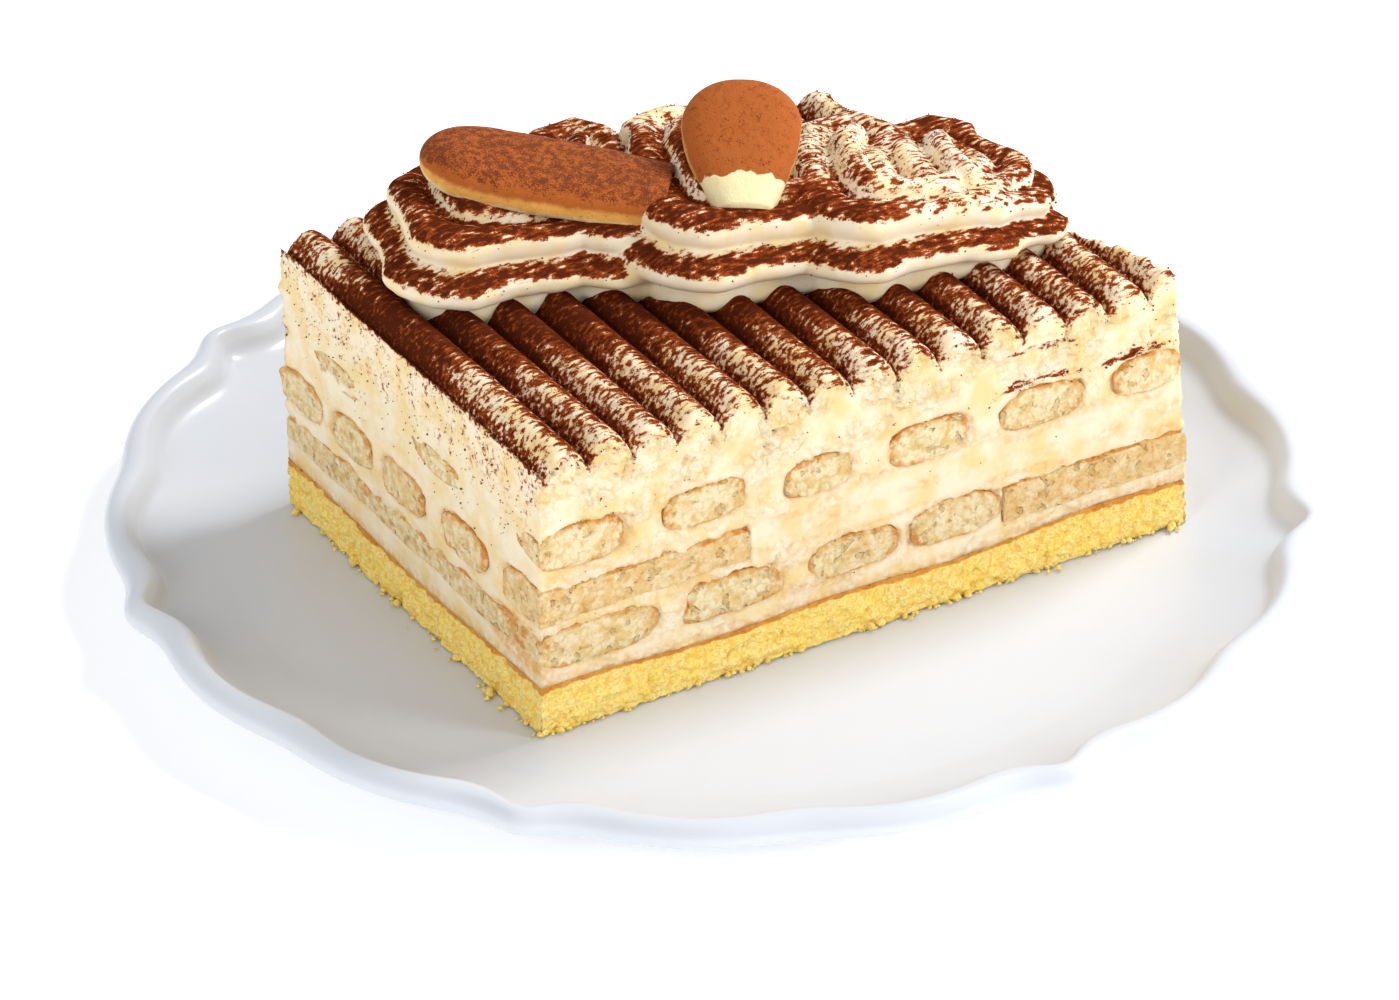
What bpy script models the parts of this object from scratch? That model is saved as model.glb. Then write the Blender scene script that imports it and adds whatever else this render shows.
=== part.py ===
"""A tiramisu slice on a scalloped plate, as faceted CAD solids in metres, +Z up.

Frame: the origin is at the centre of the plate's bottom, the slice's long side runs along +X
and its long cut face looks toward -Y. Lengths below are millimetres until solid() scales them.
"""

import math

import bmesh
import bpy
import numpy as np

MM = 0.001
GAP = 0.3  # clearance between touching pieces

# The slice stands on the plate's well with its near left corner here.
CORNER_X, CORNER_Y = -70.0, -49.4
WELL_Z = 6.5
BASE_Z = WELL_Z + GAP
LENGTH, WIDTH = 150.0, 102.0
RIGHT_LEAN, RIGHT_SKEW = 0.09, 0.18  # the right cut leans in and runs askew across the slice
RIGHT_FOOT = 152.5

# Ridges combed across the top.
RIDGE_PITCH, RIDGE_FIRST, RIDGE_COUNT, RIDGE_DEPTH = 10.0, 1.0, 16, 4.9
VALLEY_LEFT, VALLEY_RIGHT = 58.6, 55.2
RIDGE_STEPS = (0.0, 0.12, 0.36, 0.64, 0.88)

SPONGE_TOP, SPONGE_WAVE = 10.3, 0.9

# Plate outline: seven repeated motifs.
PLATE_RADIUS, PLATE_SEGMENTS, MOTIFS, MOTIF_PHASE = 122.8, 70, 7, -36.4
PLATE_PROFILE = (  # radius, height, share of the scallop
    (57.0, 2.0, 0.0), (59.0, 0.0, 0.0), (64.0, 0.0, 0.0), (67.0, 2.4, 0.0),
    (100.0, 4.6, 0.3), (116.5, 8.2, 1.0), (121.6, 10.2, 1.0), (122.8, 12.8, 1.0),
    (121.2, 15.2, 1.1), (118.4, 15.5, 1.4), (116.4, 13.4, 1.7), (114.2, 10.0, 1.5),
    (107.0, 7.8, 0.8), (98.5, WELL_Z, 0.0),
)

# Ladyfingers: name, axis, centre across, centre height, width, height, start and end, waviness seed.
FINGERS = (
    ("ladyfinger_1a", "y", 12.5, 19.0, 27.0, 9.0, -4, 106, 1),
    ("ladyfinger_1b", "y", 43.6, 19.0, 24.0, 8.8, -4, 106, 2),
    ("ladyfinger_1c", "y", 72.0, 19.0, 20.0, 8.6, -4, 106, 3),
    ("ladyfinger_1d", "y", 95.4, 19.2, 22.0, 9.0, -4, 106, 4),
    ("ladyfinger_1e", "x", 8.5, 18.4, 24.0, 9.2, 107.6, 158, 5),
    ("ladyfinger_2a", "x", 95.8, 29.0, 17.0, 8.6, -4, 158, 6),
    ("ladyfinger_2b", "x", 74.8, 29.0, 17.0, 8.6, -4, 158, 7),
    ("ladyfinger_2c", "x", 53.6, 29.0, 17.0, 8.6, -4, 158, 8),
    ("ladyfinger_2d", "x", 29.6, 29.0, 18.0, 8.6, -4, 158, 9),
    ("ladyfinger_2e", "x", 6.4, 29.0, 17.0, 8.6, -4, 47, 10),
    ("ladyfinger_3a", "y", 11.0, 41.6, 20.0, 9.0, -4, 106, 11),
    ("ladyfinger_3b", "y", 36.5, 41.4, 19.0, 8.6, -4, 106, 12),
    ("ladyfinger_3c", "y", 63.5, 39.6, 15.5, 8.0, -4, 106, 13),
    ("ladyfinger_3d", "y", 89.5, 39.4, 19.0, 8.6, -4, 106, 14),
    ("ladyfinger_3e", "y", 115.5, 39.2, 19.0, 8.8, -4, 106, 15),
    ("ladyfinger_3f", "y", 141.0, 38.8, 16.5, 8.4, -4, 106, 16),
)
FINGER_SIDES = 8
BENT_FINGER = "ladyfinger_3a"  # lies close behind the left cut and comes through it at two places
BENT_BY = (1.7, 0.2, 1.9, 0.3, 1.9, 0.4)
SHORT_FINGER = "ladyfinger_1e"  # its inner end is narrowed to stay clear of its neighbour

# The piped rope runs through these points (x, y, height over the ridges, radius): each shell comes
# forward from the back, turns its front left corner and runs right, and the next one laps over it.
ROPE = (
    (34.0, 93.0, 3.0, 9.0), (24.5, 82.0, 5.5, 11.0), (23.5, 68.0, 4.5, 12.5), (40.0, 62.5, 4.0, 11.0), (58.0, 70.0, 2.0, 9.0),
    (60.0, 88.0, 5.5, 9.0), (51.0, 74.0, 7.0, 10.0), (51.5, 58.0, 4.5, 10.5), (66.0, 53.0, 4.0, 9.5), (84.0, 62.0, 3.0, 9.0),
    (80.0, 80.0, 6.0, 10.0), (70.0, 66.0, 9.0, 11.5), (66.0, 47.5, 7.0, 13.0), (85.0, 42.0, 5.5, 11.5), (106.0, 50.0, 3.0, 9.5),
    (112.0, 66.0, 2.5, 10.0), (101.0, 54.0, 7.0, 11.5), (95.5, 36.0, 6.0, 12.5), (113.0, 31.5, 5.0, 10.5), (130.0, 42.0, 2.0, 9.5),
    (127.0, 58.0, 1.5, 9.5), (120.0, 47.0, 5.0, 10.0), (118.5, 32.5, 4.5, 10.5), (129.0, 32.5, 2.0, 8.5), (136.0, 41.0, -2.0, 5.0),
)
ROPE_STEPS, ROPE_SIDES, ROPE_LOBES = 6, 35, 7
PIPING_SHARE = 0.022

# Half ladyfingers on top: name, centre, direction, tilt of the face, (length, width, thickness), cut end.
TOPPERS = (
    ("top_biscuit_left", (42.0, 69.0, 80.2), (0.78, -0.60, -0.14), (0.0, -0.06, 1.0), (50.0, 23.0, 8.8), 0.0),
    ("top_biscuit_right", (76.6, 50.4, 85.2), (-0.40, -0.68, -0.55), (-0.2, -0.42, 0.8), (29.0, 24.0, 9.0), 0.42),
)

COLOURS = {
    "plate": (0.84, 0.85, 0.87), "sponge": (0.90, 0.70, 0.14), "cream": (0.90, 0.82, 0.62),
    "ladyfinger": (0.74, 0.58, 0.33), "piped": (0.87, 0.80, 0.60), "biscuit": (0.40, 0.13, 0.04),
}


def material(name, colour, roughness):
    """A plain Principled material of one colour."""
    made = bpy.data.materials.new(name)
    made.use_nodes = True
    shader = made.node_tree.nodes["Principled BSDF"]
    shader.inputs["Base Color"].default_value = (*colour, 1.0)
    shader.inputs["Roughness"].default_value = roughness
    made.diffuse_color = (*colour, 1.0)
    return made


def solid(name, points, faces):
    """A mesh object from points in millimetres, with its faces turned outward."""
    mesh = bpy.data.meshes.new(name)
    mesh.from_pydata((np.asarray(points, float) * MM).tolist(), [], faces)
    shape = bmesh.new()
    shape.from_mesh(mesh)
    bmesh.ops.triangulate(shape, faces=shape.faces)
    bmesh.ops.recalc_face_normals(shape, faces=shape.faces)
    if shape.calc_volume(signed=True) < 0:
        bmesh.ops.reverse_faces(shape, faces=shape.faces)
    shape.to_mesh(mesh)
    shape.free()
    made = bpy.data.objects.new(name, mesh)
    bpy.context.scene.collection.objects.link(made)
    return made


def combine(target, others, operation, keep=()):
    """Applies one exact Boolean per other body to the target, then removes those not kept."""
    for other in others:
        step = target.modifiers.new(operation.lower(), "BOOLEAN")
        step.operation, step.solver, step.object = operation, "EXACT", other
    graph = bpy.context.evaluated_depsgraph_get()
    graph.update()
    old = target.data
    target.data = bpy.data.meshes.new_from_object(target.evaluated_get(graph))
    target.modifiers.clear()
    bpy.data.meshes.remove(old)
    for other in others:
        if other not in keep:
            bpy.data.objects.remove(other, do_unlink=True)
    return target


def keep_largest(target):
    """Removes every loose scrap that the cuts left, keeping the piece with the most faces."""
    shape = bmesh.new()
    shape.from_mesh(target.data)
    left, pieces = set(shape.verts), []
    while left:
        front = [left.pop()]
        piece = set(front)
        while front:
            for edge in front.pop().link_edges:
                for vert in edge.verts:
                    if vert in left:
                        left.discard(vert)
                        piece.add(vert)
                        front.append(vert)
        pieces.append(piece)
    pieces.sort(key=len)
    for piece in pieces[:-1]:
        bmesh.ops.delete(shape, geom=list(piece), context="VERTS")
    shape.to_mesh(target.data)
    shape.free()


def weld(target, distance):
    """Merges points nearer than the distance in millimetres and drops what collapses."""
    shape = bmesh.new()
    shape.from_mesh(target.data)
    bmesh.ops.remove_doubles(shape, verts=shape.verts, dist=distance * MM)
    bmesh.ops.dissolve_degenerate(shape, edges=shape.edges, dist=distance * MM)
    bmesh.ops.triangulate(shape, faces=shape.faces)
    shape.to_mesh(target.data)
    shape.free()


def tube_faces(rings, sides):
    """Quads between closed rings and a cap polygon at each end."""
    faces = [
        (r * sides + s, r * sides + (s + 1) % sides, (r + 1) * sides + (s + 1) % sides, (r + 1) * sides + s)
        for r in range(rings - 1)
        for s in range(sides)
    ]
    return faces + [tuple(range(sides)), tuple((rings - 1) * sides + s for s in range(sides))]


def scallop(degrees):
    """Outward offset of the plate's edge: a small sharp point, a dip each side, a broad bump, a soft notch."""
    period = 360.0 / MOTIFS
    from_point = abs((degrees - MOTIF_PHASE + period / 2) % period - period / 2)
    point = 1.9 * math.exp(-((from_point / 2.6) ** 2))
    dip = -0.9 * math.exp(-(((from_point - 6.0) / 3.4) ** 2))
    bump = 0.9 * math.exp(-(((from_point - 16.0) / 6.0) ** 2))
    notch = -0.8 * math.exp(-(((from_point - period / 2) / 4.5) ** 2))
    return point + dip + bump + notch


def build_plate():
    """The dish: a revolved profile whose rim follows the scalloped outline, on a foot ring."""
    angles = [360.0 * k / PLATE_SEGMENTS + MOTIF_PHASE for k in range(PLATE_SEGMENTS)]
    points, faces = [], []
    for radius, height, share in PLATE_PROFILE:
        for degrees in angles:
            reach = radius + share * scallop(degrees)
            turn = math.radians(degrees)
            points.append((reach * math.cos(turn), reach * math.sin(turn), height))
    rings = len(PLATE_PROFILE)
    for r in range(rings - 1):
        for s in range(PLATE_SEGMENTS):
            after = (s + 1) % PLATE_SEGMENTS
            faces.append(
                (r * PLATE_SEGMENTS + s, r * PLATE_SEGMENTS + after,
                 (r + 1) * PLATE_SEGMENTS + after, (r + 1) * PLATE_SEGMENTS + s)
            )
    for ring, height in ((0, 2.0), (rings - 1, WELL_Z)):
        points.append((0.0, 0.0, height))
        centre = len(points) - 1
        for s in range(PLATE_SEGMENTS):
            faces.append((ring * PLATE_SEGMENTS + s, ring * PLATE_SEGMENTS + (s + 1) % PLATE_SEGMENTS, centre))
    points = np.array(points)
    middle = (points.min(axis=0) + points.max(axis=0)) / 2
    points[:, :2] -= middle[:2]
    return solid("plate", points, faces)


def slice_space(bottom, top):
    """The space between the slice's four knife cuts, from one height to another."""
    points = []
    for z in (bottom, top):
        for y in (0.0, WIDTH):
            for x in (0.0, RIGHT_FOOT - RIGHT_LEAN * z - RIGHT_SKEW * y):
                points.append((CORNER_X + x, CORNER_Y + y, BASE_Z + z))
    faces = [(0, 1, 3, 2), (4, 5, 7, 6), (0, 1, 5, 4), (2, 3, 7, 6), (0, 2, 6, 4), (1, 3, 7, 5)]
    return solid("slice_space", points, faces)


def interface(x, y):
    """Height of the sponge's uneven top."""
    return SPONGE_TOP + SPONGE_WAVE * (
        0.6 * math.sin(x / 9.5 + 0.8) * math.cos(y / 13.0) + 0.5 * math.sin(x / 21.0 + y / 17.0 + 1.1)
    )


def ridge_top(x, y):
    """Height of the combed top: rounded ridges between sharp valleys, falling gently to the right."""
    valley = VALLEY_LEFT + (VALLEY_RIGHT - VALLEY_LEFT) * x / LENGTH
    sway = 0.35 * math.sin(y / 24.0 + 1.9 * math.floor((x - RIDGE_FIRST) / RIDGE_PITCH))
    return valley + RIDGE_DEPTH * abs(math.sin(math.pi * (x - RIDGE_FIRST) / RIDGE_PITCH)) ** 0.75 + sway * min(
        1.0, abs(math.sin(math.pi * (x - RIDGE_FIRST) / RIDGE_PITCH)) * 2
    )


def slab(name, columns, rows, low, high):
    """A closed slab over a grid of x columns and y rows between two height functions."""
    across, deep = len(columns), len(rows)
    points = []
    for height in (low, high):
        for y in rows:
            for x in columns:
                points.append((CORNER_X + x, CORNER_Y + y, BASE_Z + height(x, y)))
    layer = across * deep
    faces = []
    for r in range(deep - 1):
        for c in range(across - 1):
            k = r * across + c
            for start in (0, layer):
                faces.append((start + k, start + k + 1, start + k + across + 1, start + k + across))
    border = (
        [(c, c + 1) for c in range(across - 1)]
        + [((deep - 1) * across + c, (deep - 1) * across + c + 1) for c in range(across - 1)]
        + [(r * across, (r + 1) * across) for r in range(deep - 1)]
        + [((r + 1) * across - 1, (r + 2) * across - 1) for r in range(deep - 1)]
    )
    faces += [(a, b, b + layer, a + layer) for a, b in border]
    return solid(name, points, faces)


def ridge_columns():
    """x positions that catch every valley and the round of every ridge."""
    return [RIDGE_FIRST + RIDGE_PITCH * (k + step) for k in range(-1, RIDGE_COUNT) for step in RIDGE_STEPS]


def finger_body(name, axis, across, height, wide, tall, start, end, seed, grow=0.0):
    """One ladyfinger: a flat-bottomed rounded bar, slightly wavy, laid along x or y."""
    steps = 5 if end - start > 80 else 3
    points = []
    for r in range(steps + 1):
        share = r / steps
        along = start - grow + (end - start + 2 * grow) * share
        swell = 1.0 + 0.05 * math.sin(2.6 * seed + 4.3 * share * steps)
        drift = 0.5 * math.sin(1.7 * seed + 2.1 * r)
        if name.startswith(BENT_FINGER):
            swell, drift = 1.0, -BENT_BY[r]
        if name.startswith(SHORT_FINGER) and r == 0:
            swell = 0.8
        for s in range(FINGER_SIDES):
            turn = 2 * math.pi * (s + 0.5) / FINGER_SIDES
            c, d = math.cos(turn), math.sin(turn)
            u = math.copysign(abs(c) ** 0.62, c) * (wide / 2 * swell + grow)
            v = math.copysign(abs(d) ** (0.72 if d > 0 else 0.5), d) * (tall / 2 + grow)
            place = (across + drift + u, along) if axis == "y" else (along, across + drift + u)
            points.append((CORNER_X + place[0], CORNER_Y + place[1], BASE_Z + height + v))
    return solid(name, points, tube_faces(steps + 1, FINGER_SIDES))


def rope_body(name):
    """The piped rope: a star section with rounded lobes swept through the rope's points, drawn out at the bends."""
    knots = np.array(ROPE, float)
    knots = np.vstack((2 * knots[0] - knots[1], knots, 2 * knots[-1] - knots[-2]))
    line = []
    for k in range(1, len(knots) - 2):
        a, b, c, d = knots[k - 1 : k + 3]
        for step in range(ROPE_STEPS):
            t = step / ROPE_STEPS
            curve = 0.5 * (2 * b + (c - a) * t + (2 * a - 5 * b + 4 * c - d) * t**2 + (3 * b - a - 3 * c + d) * t**3)
            line.append(0.7 * curve + 0.3 * (b + (c - b) * t))
    line.append(knots[-2])
    line = np.array(line)
    heading = np.gradient(line[:, :2], axis=0)
    stride = np.linalg.norm(heading, axis=1)
    heading /= stride[:, None]
    bend = np.gradient(np.unwrap(np.arctan2(heading[:, 1], heading[:, 0]))) / stride
    bend = np.convolve(np.pad(bend, 2, mode="edge"), (0.15, 0.2, 0.3, 0.2, 0.15), mode="valid")
    points = []
    for (x, y, over, radius), (hx, hy), curl in zip(line, heading, bend):
        base = BASE_Z + VALLEY_LEFT + (VALLEY_RIGHT - VALLEY_LEFT) * x / LENGTH + RIDGE_DEPTH + over
        for s in range(ROPE_SIDES):
            turn = 2 * math.pi * s / ROPE_SIDES + 0.2
            reach = radius * (0.72 + 0.31 * abs(math.cos(ROPE_LOBES * turn / 2)) ** 0.8)
            outer = max(0.0, math.cos(turn) * curl)
            out = reach * math.cos(turn) * (1.03 + min(0.30, 2.6 * outer))
            points.append((CORNER_X + x + hy * out, CORNER_Y + y - hx * out, base + reach * math.sin(turn)))
    return solid(name, points, tube_faces(len(line), ROPE_SIDES))


def topper_body(name, centre, direction, face, size, taper, grow=0.0):
    """Half a ladyfinger: a rounded flat bar with one round end and one cut end, drawn in by the taper."""
    long, wide, thick = size
    forward = np.array(direction, float)
    forward /= np.linalg.norm(forward)
    up = np.array(face, float)
    up -= forward * up.dot(forward)
    up /= np.linalg.norm(up)
    side = np.cross(up, forward)
    profile = ((0.0, 0.30), (0.035, 0.62), (0.12, 0.86), (0.26, 0.98), (0.45, 1.0), (0.70, 0.98), (0.88, 0.92), (1.0, 0.82))
    sides = 14
    points = []
    for share, width in profile:
        depth = min(1.0, 0.45 + 4.2 * share)
        width *= 1.0 - taper * max(0.0, (share - 0.35) / 0.65) ** 1.5
        along = (share - 0.5) * (long + 2 * grow)
        for s in range(sides):
            turn = 2 * math.pi * (s + 0.5) / sides
            c, d = math.cos(turn), math.sin(turn)
            u = math.copysign(abs(c) ** 0.7, c) * (wide / 2 * width + grow)
            v = math.copysign(abs(d) ** (0.85 if d > 0 else 0.6), d) * (thick / 2 * depth + grow)
            at = np.array(centre) + forward * along + side * u + up * v
            points.append((CORNER_X + at[0], CORNER_Y + at[1], BASE_Z + at[2]))
    return solid(name, points, tube_faces(len(profile), sides))


def build_slice():
    """The sponge base, the ladyfingers and the cream that fills the space round them."""
    rows = [-4.0, 14.0, 32.0, 50.0, 68.0, 86.0, 106.0]
    columns = [-4.0 + 12.5 * k for k in range(14)]
    sponge = slab("sponge_base", columns, rows, lambda x, y: 0.0, interface)
    combine(sponge, [slice_space(-5.0, 90.0)], "INTERSECT")

    wave = slab("wave", columns, rows, lambda x, y: -8.0, lambda x, y: interface(x, y) + GAP)
    tops = ridge_columns()
    cream = slab("cream_block", tops, [-4.0, 30.0, 64.0, 106.0], lambda x, y: 4.0, ridge_top)
    hollows = [finger_body(finger[0] + "_hollow", *finger[1:], grow=GAP) for finger in FINGERS]
    combine(cream, [wave, *hollows], "DIFFERENCE")
    combine(cream, [slice_space(-6.0, 91.0)], "INTERSECT")

    fingers = []
    for finger in FINGERS:
        body = finger_body(*finger)
        combine(body, [slice_space(-5.0, 90.0)], "INTERSECT")
        fingers.append(body)
    return sponge, cream, fingers


def build_piping():
    """The zigzag of piped cream along the top, resting on the ridges and round the two biscuits."""
    piping = rope_body("piped_cream")
    skin = piping.modifiers.new("skin", "REMESH")
    skin.mode, skin.voxel_size = "VOXEL", 0.8 * MM
    thin = piping.modifiers.new("thin", "DECIMATE")
    thin.ratio = PIPING_SHARE
    combine(piping, [], "UNION")
    weld(piping, 0.02)
    bed = slab("bed", ridge_columns(), [-20.0, 120.0], lambda x, y: 20.0, lambda x, y: ridge_top(x, 0.0) + 0.4 + GAP)
    hollows = [topper_body("hollow", *topper[1:], grow=GAP) for topper in TOPPERS]
    combine(piping, [bed], "DIFFERENCE")
    combine(piping, hollows, "DIFFERENCE")
    keep_largest(piping)
    weld(piping, 0.02)
    return piping, [topper_body(*topper) for topper in TOPPERS]


def main():
    """Builds every node of the plated slice."""
    for obj in list(bpy.data.objects):
        bpy.data.objects.remove(obj, do_unlink=True)
    plate = build_plate()
    sponge, cream, fingers = build_slice()
    piping, toppers = build_piping()
    dressed = [("plate", plate, 0.2), ("sponge", sponge, 0.9), ("cream", cream, 0.6), ("piped", piping, 0.5)]
    dressed += [("ladyfinger", body, 0.9) for body in fingers] + [("biscuit", body, 0.9) for body in toppers]
    for colour, body, roughness in dressed:
        body.data.materials.clear()
        body.data.materials.append(material(body.name, COLOURS[colour], roughness))


main()
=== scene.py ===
"""Looks for the plated tiramisu slice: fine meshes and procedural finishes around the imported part.

Arrays hold millimetres in the slice's own axes (origin at its near left bottom corner on the
plate's well) or, for the plate, in the row frame; add_mesh() turns them into metres.
"""

from __future__ import annotations

import logging
import math
from dataclasses import dataclass
from enum import Enum
from itertools import product

import bmesh
import bpy
import numpy as np
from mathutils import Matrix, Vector

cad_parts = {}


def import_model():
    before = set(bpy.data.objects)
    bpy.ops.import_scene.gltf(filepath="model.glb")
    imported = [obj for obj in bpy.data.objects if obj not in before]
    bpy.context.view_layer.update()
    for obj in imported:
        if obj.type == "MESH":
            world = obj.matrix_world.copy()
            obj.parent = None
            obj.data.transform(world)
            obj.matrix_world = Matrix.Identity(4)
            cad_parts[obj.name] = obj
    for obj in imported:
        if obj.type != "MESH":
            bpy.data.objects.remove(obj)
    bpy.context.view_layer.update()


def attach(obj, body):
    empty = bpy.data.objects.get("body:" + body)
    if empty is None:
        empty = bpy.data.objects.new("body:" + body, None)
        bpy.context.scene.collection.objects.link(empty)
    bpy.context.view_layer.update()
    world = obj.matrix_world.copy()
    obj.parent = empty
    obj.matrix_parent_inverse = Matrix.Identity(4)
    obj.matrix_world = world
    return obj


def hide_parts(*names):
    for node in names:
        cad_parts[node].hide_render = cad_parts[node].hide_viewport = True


LOG = logging.getLogger("tiramisu")
MM = 0.001
SLICE_ORIGIN = np.array((-70.0, -49.4, 6.8))
Array = np.ndarray


class Face(Enum):
    """The four knife cuts of the slice."""

    FRONT = "front"
    RIGHT = "right"
    BACK = "back"
    LEFT = "left"


# ---------------------------------------------------------------- colour and noise


def linear(code: str) -> tuple[float, float, float, float]:
    """Turns an sRGB hex colour into linear RGBA.

    Args:
        code: six hex digits after a hash.

    Returns:
        Linear red, green, blue and an alpha of one.
    """
    parts = [int(code[k : k + 2], 16) / 255 for k in (1, 3, 5)]
    r, g, b = (c / 12.92 if c <= 0.04045 else ((c + 0.055) / 1.055) ** 2.4 for c in parts)
    return (r, g, b, 1.0)


def smoothstep(low: float, high: float, value: Array) -> Array:
    """Cubic ramp 3t^2 - 2t^3 from 0 at low to 1 at high."""
    t = np.clip((value - low) / (high - low), 0.0, 1.0)
    return t * t * (3 - 2 * t)


def lattice(cells: Array, seed: int) -> Array:
    """Hash of whole-number cells: products with large primes, xor-ed and scrambled, scaled to 0..1."""
    h = cells[..., 0] * 73856093 ^ cells[..., 1] * 19349663 ^ cells[..., 2] * 83492791 ^ (seed * 2654435 + 97)
    h = (h ^ (h >> 13)) * 1274126177
    h = (h ^ (h >> 16)) * 668265263
    return ((h ^ (h >> 15)) & 0xFFFFFF) / float(0xFFFFFF)


def noise(points: Array, size: float | tuple[float, float, float], seed: int, octaves: int = 1) -> Array:
    """Value noise in -1..1: smoothly blended lattice values, each octave half the size and height.

    Args:
        points: (..., 3) positions in millimetres.
        size: cell size in millimetres, one number or one per axis.
        seed: which noise.
        octaves: how many layers.

    Returns:
        One value per point.
    """
    total = np.zeros(points.shape[:-1])
    weight, reach, scaled = 1.0, 0.0, points / np.asarray(size, float)
    for octave in range(octaves):
        cell = np.floor(scaled).astype(np.int64)
        t = scaled - cell
        t = t * t * (3 - 2 * t)
        value = np.zeros(points.shape[:-1])
        for corner in np.ndindex(2, 2, 2):
            pick = np.array(corner)
            share = np.prod(np.where(pick == 1, t, 1 - t), axis=-1)
            value += share * lattice(cell + pick, seed + 31 * octave)
        total += weight * (2 * value - 1)
        reach += weight
        weight *= 0.5
        scaled = scaled * 2.03 + 17.3
    return total / reach


# ---------------------------------------------------------------- mesh helpers


def spline(a: Array, b: Array, c: Array, d: Array, t: Array) -> Array:
    """Catmull-Rom curve from b (t = 0) to c (t = 1), with a before and d after them."""
    return 0.5 * (2 * b + (c - a) * t + (2 * a - 5 * b + 4 * c - d) * t**2 + (3 * b - a - 3 * c + d) * t**3)


def grid_quads(rows: int, columns: int, start: int = 0, closed: bool = False) -> Array:
    """Quads of a rows x columns grid of points numbered row by row from start.

    Args:
        rows: number of rows of points.
        columns: number of points in a row.
        start: index of the first point.
        closed: whether each row's end joins its beginning.

    Returns:
        (n, 4) point indices.
    """
    r, c = np.meshgrid(np.arange(rows - 1), np.arange(columns if closed else columns - 1), indexing="ij")
    after = (c + 1) % columns
    quads = np.stack(
        (r * columns + c, r * columns + after, (r + 1) * columns + after, (r + 1) * columns + c), -1
    )
    return quads.reshape(-1, 4) + start


def fan(ring: Array, centre: int) -> Array:
    """Triangles from each step of a ring of point indices to one centre point."""
    return np.stack((ring, np.roll(ring, -1), np.full_like(ring, centre)), -1)


def capped_tube(rings: Array, centres: list | None = None) -> tuple[Array, list[Array]]:
    """Closes a tube, given ring by ring, with a fan at each end.

    Args:
        rings: (rows, columns, 3) points.
        centres: the middles of the two fans, or None for the means of the first and the last ring.

    Returns:
        (n, 3) points that end with the two middles, and the polygons.
    """
    rows, columns = rings.shape[:2]
    ring, middle = np.arange(columns), rows * columns
    ends = [fan(ring, middle), fan(ring + middle - columns, middle + 1)]
    points = np.concatenate((rings.reshape(-1, 3), centres or [rings[0].mean(0), rings[-1].mean(0)]))
    return points, [grid_quads(rows, columns, closed=True), *ends]


def add_mesh(
    name: str,
    points: Array,
    polygons: list[Array],
    finish: bpy.types.Material,
    origin: Array = SLICE_ORIGIN,
    values: dict[str, Array] | None = None,
) -> bpy.types.Object:
    """Makes a smooth-shaded object from whole arrays.

    Args:
        name: the object's name.
        points: (n, 3) millimetres.
        polygons: arrays of point indices, three or four to a row.
        finish: its material.
        origin: added to every point, in millimetres.
        values: float attributes, one value per point.

    Returns:
        The linked object, at the origin.
    """
    mesh = bpy.data.meshes.new(name)
    mesh.vertices.add(len(points))
    mesh.vertices.foreach_set("co", ((points + origin) * MM).astype(np.float32).ravel())
    counts = np.concatenate([np.full(len(p), p.shape[1]) for p in polygons])
    loops = np.concatenate([p.ravel() for p in polygons])
    mesh.loops.add(len(loops))
    mesh.loops.foreach_set("vertex_index", loops.astype(np.int32))
    mesh.polygons.add(len(counts))
    mesh.polygons.foreach_set("loop_start", np.concatenate(([0], np.cumsum(counts)[:-1])).astype(np.int32))
    mesh.polygons.foreach_set("loop_total", counts.astype(np.int32))
    mesh.polygons.foreach_set("use_smooth", np.ones(len(counts), bool))
    for key, value in (values or {}).items():
        mesh.attributes.new(key, "FLOAT", "POINT").data.foreach_set("value", np.asarray(value, np.float32))
    mesh.update(calc_edges=True)
    mesh.validate()
    mesh.materials.append(finish)
    made = bpy.data.objects.new(name, mesh)
    bpy.context.scene.collection.objects.link(made)
    return made


def mesh_arrays(obj: bpy.types.Object) -> tuple[Array, Array]:
    """Points in millimetres and point normals of an object's mesh."""
    mesh = obj.data
    points = np.empty(len(mesh.vertices) * 3, np.float32)
    mesh.vertices.foreach_get("co", points)
    normals = np.empty(len(mesh.vertices) * 3, np.float32)
    mesh.vertex_normals.foreach_get("vector", normals)
    return points.reshape(-1, 3).astype(float) / MM, normals.reshape(-1, 3).astype(float)


# ---------------------------------------------------------------- shader helpers


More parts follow.
